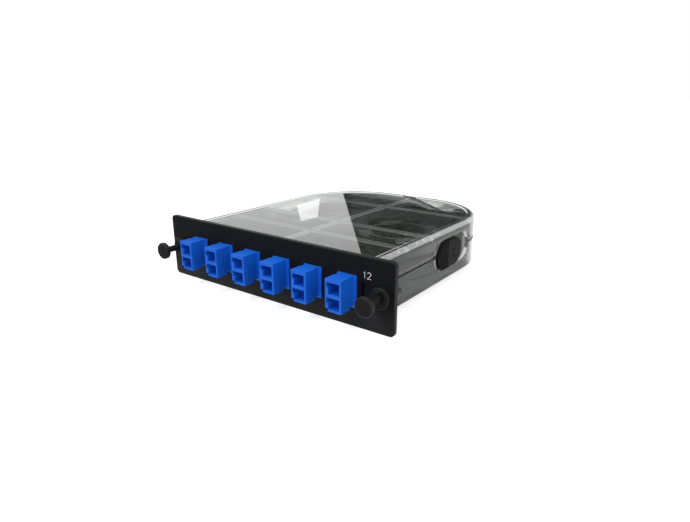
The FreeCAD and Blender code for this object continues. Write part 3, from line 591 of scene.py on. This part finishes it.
def depth_from_outline(x, y):
    """How far inside the housing's D-shaped outline each place is, seen from above.

    On the straight sides min(w - |x|, l - y); in a rear corner r - hypot(|x| - (w - r), y - (l - r)).
    """
    low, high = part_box("base_tray")
    half = (high[0] - low[0]) / 2
    across = np.abs(x)
    depth = np.minimum(half - across, high[1] - y)
    round_x = across - (half - SHELL_TURN)
    round_y = y - (high[1] - SHELL_TURN)
    corner = (round_x > 0) & (round_y > 0)
    depth[corner] = SHELL_TURN - np.hypot(round_x[corner], round_y[corner])
    return depth


class HousingFaces:
    """Where each face of a clear shell lies and which way it looks, as arrays with one entry a face."""

    def __init__(self, mesh):
        count = len(mesh.polygons)
        middles = np.empty(count * 3)
        normals = np.empty(count * 3)
        mesh.polygons.foreach_get("center", middles)
        mesh.polygons.foreach_get("normal", normals)
        self.x, self.y, self.z = middles.reshape(-1, 3).T
        self.side, self.along, self.rise = np.abs(normals.reshape(-1, 3)).T
        self.backwards = normals[1::3] > FACING
        self.depth = depth_from_outline(self.x, self.y)
        self.under_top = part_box("cover")[1][2] - self.z
        self.upright = self.rise < SIDE_SLOPE
        self.level = self.rise > LEVEL_SLOPE
        self.inside = (self.depth > RIM_REACH) & (self.y > RIM_REACH)
        self.outer = self.depth < EDGE_REACH
        self.high = self.under_top < EDGE_REACH
        # 0 on a straight outer wall, and 1 in the middle of a rounded upright corner
        on_skin = self.upright & (self.depth < SKIN_REACH)
        self.turn = np.where(on_skin, np.minimum(self.side, self.along) * math.sqrt(2), 0.0)


def clearness_of(faces):
    """Smokier outer walls, and clearer walls and rings inside; where two lines hold, the later one counts."""
    clearness = np.ones(len(faces.x))
    walls = UPRIGHT_CLEARNESS + (1 - UPRIGHT_CLEARNESS) * faces.turn
    clearness[faces.upright] = walls[faces.upright]
    clearness[faces.upright & faces.inside] = INNER_CLEARNESS
    clearness[~faces.upright & (faces.depth < RIM_REACH) & faces.high] = RIM_CLEARNESS
    clearness[faces.y < 0] = HOOK_CLEARNESS
    return clearness


def painted_edge_glow_of(faces):
    """Painted glow on the clear plastic's edges, standing in for the light it gathers there; where two lines
    hold, the later one counts.
    """
    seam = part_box("cover")[0][2]
    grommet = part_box("cable_grommet")
    # light: the painted glow of each face
    light = faces.turn * CORNER_PAINTED_GLOW
    light[~faces.upright & faces.outer & faces.high & (faces.rise < LEVEL_SLOPE)] = RIM_PAINTED_GLOW
    light[faces.level & (faces.depth < RIM_REACH) & (faces.under_top < SKIN_REACH)] = STRIP_PAINTED_GLOW
    rim_wall = faces.upright & ~faces.outer & ~faces.inside
    light[rim_wall & (faces.under_top < RIM_STEP)] = LINE_PAINTED_GLOW
    flank = faces.upright & faces.inside & (faces.under_top < RIB_LEVEL)
    light[flank] = RIB_PAINTED_GLOW
    light[flank & faces.backwards] = RIB_BACK_PAINTED_GLOW
    light[faces.level & faces.outer & (np.abs(faces.z - seam) < SEAM_REACH)] = SEAM_PAINTED_GLOW
    light[faces.level & faces.inside & (np.abs(faces.under_top - RING_LEVEL) < SKIN_REACH)] = RING_PAINTED_GLOW
    beside_port = (faces.y > grommet[0][1]) & (faces.y < grommet[1][1] + PORT_REACH) & (faces.x > 0)
    beside_port &= (np.abs(faces.z) < PORT_REACH) & faces.outer & (faces.side < FACING)
    light[beside_port] = PORT_PAINTED_GLOW
    return light


# ---------------------------------------------------------------- stage: world, floor, cards, lamps, camera
def seen_share(tree):
    """1 for what the camera sees straight, in gloss or through glass, and 0 for light on matt surfaces."""
    path = tree.nodes.new("ShaderNodeLightPath")
    straight = math_node(tree, "MAXIMUM", path.outputs["Is Camera Ray"], path.outputs["Is Glossy Ray"])
    return math_node(tree, "MAXIMUM", straight, path.outputs["Is Transmission Ray"])


def studio_world(sky_light):
    """White where it is seen, and an even soft light on everything matt."""
    world = bpy.data.worlds.new("studio")
    world.use_nodes = True
    tree = world.node_tree
    background = tree.nodes["Background"]
    feed(tree, background.inputs["Color"], WHITE)
    feed(tree, background.inputs["Strength"], ranged(tree, seen_share(tree), low=sky_light, high=1.0))
    bpy.context.scene.world = world


def floor_material():
    """Pale floor that takes shadows, lifted to white where the camera, gloss or glass sees it."""
    material, tree, shader = new_material(
        "pale_floor", Base_Color=(FLOOR_GREY, FLOOR_GREY, FLOOR_GREY, 1.0), Roughness=0.9,
        Specular_IOR_Level=0.0, Emission_Color=WHITE)
    feed(tree, shader.inputs["Emission Strength"], math_node(tree, "MULTIPLY", seen_share(tree), FLOOR_LIFT))
    return material


def card_material(name, glow):
    """An even card of one brightness."""
    return new_material(
        name, Base_Color=BLACK, Specular_IOR_Level=0.0, Emission_Color=WHITE, Emission_Strength=glow)[0]


def put_sheet(name, corners, material):
    """A flat stage sheet with these corners."""
    mesh = bpy.data.meshes.new(name)
    mesh.from_pydata(np.asarray(corners).tolist(), [], [tuple(range(len(corners)))])
    mesh.materials.append(material)
    sheet = put_in_scene(name, mesh)
    return sheet


def put_card(name, corners, glow):
    """A flat card that is seen only in gloss."""
    card = put_sheet(name, corners, card_material(name, glow))
    card.visible_camera = False
    card.visible_diffuse = False
    card.visible_transmission = False
    card.visible_shadow = False


def on_wall(corners, distance, eye):
    """Corners on a wall behind the cassette: each is the mirrored eye + (across, 1, up) x distance."""
    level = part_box("cover")[1][2]
    origin = np.array([eye[0], eye[1], 2 * level - eye[2]])
    across, up = np.array(corners).T
    return origin + distance * np.column_stack([across, np.ones(len(corners)), up])


def at_level(corners, level):
    """Corners (x, y) laid flat at a level."""
    return np.column_stack([corners, np.full(len(corners), level)])


def hang_lamp(name, power, size, place, target):
    """A square soft lamp that the camera doesn't see, aimed at a point."""
    light = bpy.data.lights.new(name, "AREA")
    light.energy = power
    light.shape = "SQUARE"
    light.size = size
    lamp = put_in_scene(name, light)
    lamp.location = place
    lamp.rotation_euler = (Vector(target) - Vector(place)).to_track_quat("-Z", "Y").to_euler()
    lamp.visible_camera = False


def stand_camera(settings):
    """The scene's camera at its own place and turn."""
    lens = bpy.data.cameras.new("camera")
    lens.lens = settings.lens
    lens.clip_start = NEAREST_SEEN
    camera = put_in_scene("camera", lens)
    camera.location = settings.eye
    camera.rotation_euler = (math.radians(90) - settings.elevation, 0, settings.azimuth)
    bpy.context.scene.camera = camera


class CASSETTE_OT_stage(Operator):
    """Set up the world, floor, cards, lamps and camera"""
    bl_idname = "cassette.stage"
    bl_label = "Stage"

    def execute(self, context):
        settings = context.scene.cassette_stage
        context.scene.view_settings.view_transform = "Standard"
        studio_world(settings.sky_light)
        lowest = CAD_BOX[0][2]
        floor_corners = np.array([(-1, -1), (1, -1), (1, 1), (-1, 1)]) * FLOOR_HALF
        put_sheet("floor", at_level(floor_corners, lowest - FLOOR_DROP), floor_material())
        middle = (Vector(CAD_BOX[0]) + Vector(CAD_BOX[1])) / 2
        for name, size, place in LAMPS:
            hang_lamp(name, getattr(settings, name + "_power"), size, place, middle)
        put_card("flag_card", on_wall(FLAG_CORNERS, FLAG_WALL, settings.eye), FLAG_GREY)
        put_card("window_card", on_wall(WINDOW_CORNERS, WINDOW_WALL, settings.eye), WINDOW_GLOW)
        put_card("front_card", at_level(FRONT_CORNERS, lowest), FRONT_GREY)
        stand_camera(settings)
        return {"FINISHED"}


# ---------------------------------------------------------------- the cassette's pieces
def nodes_named(*endings):
    """The CAD nodes whose names end in one of these words."""
    return sorted(name for name in frame["nodes"] if name.endswith(endings))


class CASSETTE_OT_faceplate(Operator):
    """Finish the coated faceplate"""
    bl_idname = "cassette.faceplate"
    bl_label = "Faceplate"

    def execute(self, context):
        finished_copy("faceplate", context.scene.cassette_finish.plate_edge, once(powder_coat))
        return {"FINISHED"}


class CASSETTE_OT_adapters(Operator):
    """Finish the adapters' mouldings, spring clips and sleeves"""
    bl_idname = "cassette.adapters"
    bl_label = "Adapters"

    def execute(self, context):
        for node in nodes_named("_front", "_rear"):
            finished_copy(node, context.scene.cassette_finish.moulded_edge, once(blue_moulding))
        for node in nodes_named("_clip"):
            finished_copy(node, 0.0, once(clip_steel))
        for node in nodes_named("_sleeves"):
            finished_copy(node, 0.0, once(sleeve_ceramic))
        return {"FINISHED"}


class CASSETTE_OT_latches(Operator):
    """Finish the latches' bushes and plungers"""
    bl_idname = "cassette.latches"
    bl_label = "Latches"

    def execute(self, context):
        for node in nodes_named("_bush", "_plunger"):
            finished_copy(node, context.scene.cassette_finish.moulded_edge, once(black_nylon))
        return {"FINISHED"}


class CASSETTE_OT_housing(Operator):
    """Finish the clear base tray and cover"""
    bl_idname = "cassette.housing"
    bl_label = "Housing"

    def execute(self, context):
        for node, plastic in (("base_tray", clear_tray), ("cover", clear_cover)):
            mesh = finished_copy(node, context.scene.cassette_finish.shell_edge, once(plastic)).data
            faces = HousingFaces(mesh)
            for name, values in ((CLEARNESS, clearness_of(faces)), (PAINTED_EDGE_GLOW, painted_edge_glow_of(faces))):
                mesh.attributes.new(name, "FLOAT", "FACE").data.foreach_set("value", values)
        return {"FINISHED"}


class CASSETTE_OT_grommet(Operator):
    """Finish the rubber cable grommet"""
    bl_idname = "cassette.grommet"
    bl_label = "Cable grommet"

    def execute(self, context):
        finished_copy("cable_grommet", context.scene.cassette_finish.moulded_edge, once(black_rubber))
        return {"FINISHED"}


class CASSETTE_OT_splice_holder(Operator):
    """Finish the splice holder inside the housing"""
    bl_idname = "cassette.splice_holder"
    bl_label = "Splice holder"

    def execute(self, context):
        finished_copy("splice_holder", context.scene.cassette_finish.moulded_edge, once(holder_green))
        return {"FINISHED"}


def digit_line(digit):
    """The middle line of a 1 or a 2, in heights: its base line is 0 and its top 1.

    The 2's bowl is part of an ellipse: centre + (a cos t, b sin t), with t between its two ends.
    """
    width = DIGIT_WIDTHS[digit]
    if digit == "1":
        return np.array([(0.0, ONE_FLAG), (width, 1.0), (width, 0.0)])
    turn = np.radians(np.linspace(*BOWL_ENDS, BOWL_POINTS))
    bowl = np.array(BOWL_CENTRE) + np.array(BOWL_RADII) * np.column_stack([np.cos(turn), np.sin(turn)])
    return np.vstack([bowl, [(TWO_FOOT, 0.0), (width, 0.0)]])


def ribbon(line, half_width, rise):
    """A closed flat ribbon along a line, as places (x, y, z) and faces of four.

    Each side is line +- normal x half_width / cos(half the turn), the mitre at each point. The sides are
    laid down at depth 0 and again at depth -rise, and faces join them all round.
    """
    step = np.diff(line, axis=0)
    step /= np.linalg.norm(step, axis=1)[:, None]
    before = np.vstack([step[:1], step])
    after = np.vstack([step, step[-1:]])
    along = before + after
    along /= np.linalg.norm(along, axis=1)[:, None]
    normal = np.column_stack([-along[:, 1], along[:, 0]])
    mitre = half_width / np.clip((before * along).sum(axis=1), MITRE_LIMIT, 1.0)
    off = normal * mitre[:, None]
    count = len(line)
    outline = np.vstack([line + off, line - off] * 2)
    depth = np.repeat([0.0, -rise], 2 * count)
    places = np.column_stack([outline[:, 0], depth, outline[:, 1]])
    left = np.arange(count - 1)
    right, top_left, top_right = left + count, left + 2 * count, left + 3 * count
    strips = np.array([
        [left, left + 1, right + 1, right],
        [top_right, top_right + 1, top_left + 1, top_left],
        [left + 1, left, top_left, top_left + 1],
        [right, right + 1, top_right + 1, top_right]])
    start = np.array([0, 1, 3, 2]) * count
    ends = np.array([start, start[[1, 0, 3, 2]] + count - 1])
    return places, np.vstack([strips.transpose(2, 0, 1).reshape(-1, 4), ends])


class CASSETTE_OT_number(Operator):
    """Print the plain fibre count on the faceplate"""
    bl_idname = "cassette.number"
    bl_label = "Printed number"

    def execute(self, context):
        settings = context.scene.cassette_print
        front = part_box("faceplate")[0][1]
        left = settings.left
        places = np.empty((0, 3))
        faces = np.empty((0, 4), dtype=int)
        for digit in settings.words:
            line = digit_line(digit) * settings.height + (left, settings.base)
            new_places, new_faces = ribbon(line, settings.stroke / 2, settings.rise)
            faces = np.vstack([faces, new_faces + len(places)])
            places = np.vstack([places, new_places + (0.0, front, 0.0)])
            left += (DIGIT_WIDTHS[digit] + settings.spacing) * settings.height
        mesh = bpy.data.meshes.new("printed_number")
        mesh.from_pydata(places.tolist(), [], faces.tolist())
        work = bmesh.new()
        work.from_mesh(mesh)
        bmesh.ops.recalc_face_normals(work, faces=work.faces)
        work.to_mesh(mesh)
        work.free()
        mesh.materials.append(once(printed_ink))
        piece = put_in_scene("printed_number", mesh)
        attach(piece, NODE_BODY["faceplate"])
        return {"FINISHED"}


# ---------------------------------------------------------------- sidebar, registration and run
OPERATORS = (
    CASSETTE_OT_stage,
    CASSETTE_OT_faceplate,
    CASSETTE_OT_adapters,
    CASSETTE_OT_latches,
    CASSETTE_OT_housing,
    CASSETTE_OT_grommet,
    CASSETTE_OT_splice_holder,
    CASSETTE_OT_number,
)
SETTINGS = {
    "cassette_finish": CassetteFinish,
    "cassette_print": CassettePrint,
    "cassette_stage": CassetteStage,
}


class CASSETTE_PT_panel(Panel):
    """Every piece of the cassette, in the order that they are made"""
    bl_idname = "CASSETTE_PT_panel"
    bl_label = "Fibre cassette"
    bl_space_type = "VIEW_3D"
    bl_region_type = "UI"
    bl_category = "Cassette"

    def draw(self, context):
        for operator in OPERATORS:
            self.layout.operator(operator.bl_idname)
        for name, kind in SETTINGS.items():
            column = self.layout.column()
            column.label(text=kind.__doc__)
            for field in kind.__annotations__:
                column.prop(getattr(context.scene, name), field)


def register():
    """Make the settings, operators and panel known."""
    for name, kind in SETTINGS.items():
        bpy.utils.register_class(kind)
        setattr(bpy.types.Scene, name, PointerProperty(type=kind))
    for kind in (*OPERATORS, CASSETTE_PT_panel):
        bpy.utils.register_class(kind)


def unregister():
    """Take them away again."""
    for kind in reversed((*OPERATORS, CASSETTE_PT_panel)):
        bpy.utils.unregister_class(kind)
    for name, kind in SETTINGS.items():
        delattr(bpy.types.Scene, name)
        bpy.utils.unregister_class(kind)


def main():
    """Make every piece in order."""
    register()
    for operator in OPERATORS:
        group, name = operator.bl_idname.split(".")
        getattr(getattr(bpy.ops, group), name)()


if __name__ == "__main__":
    main()
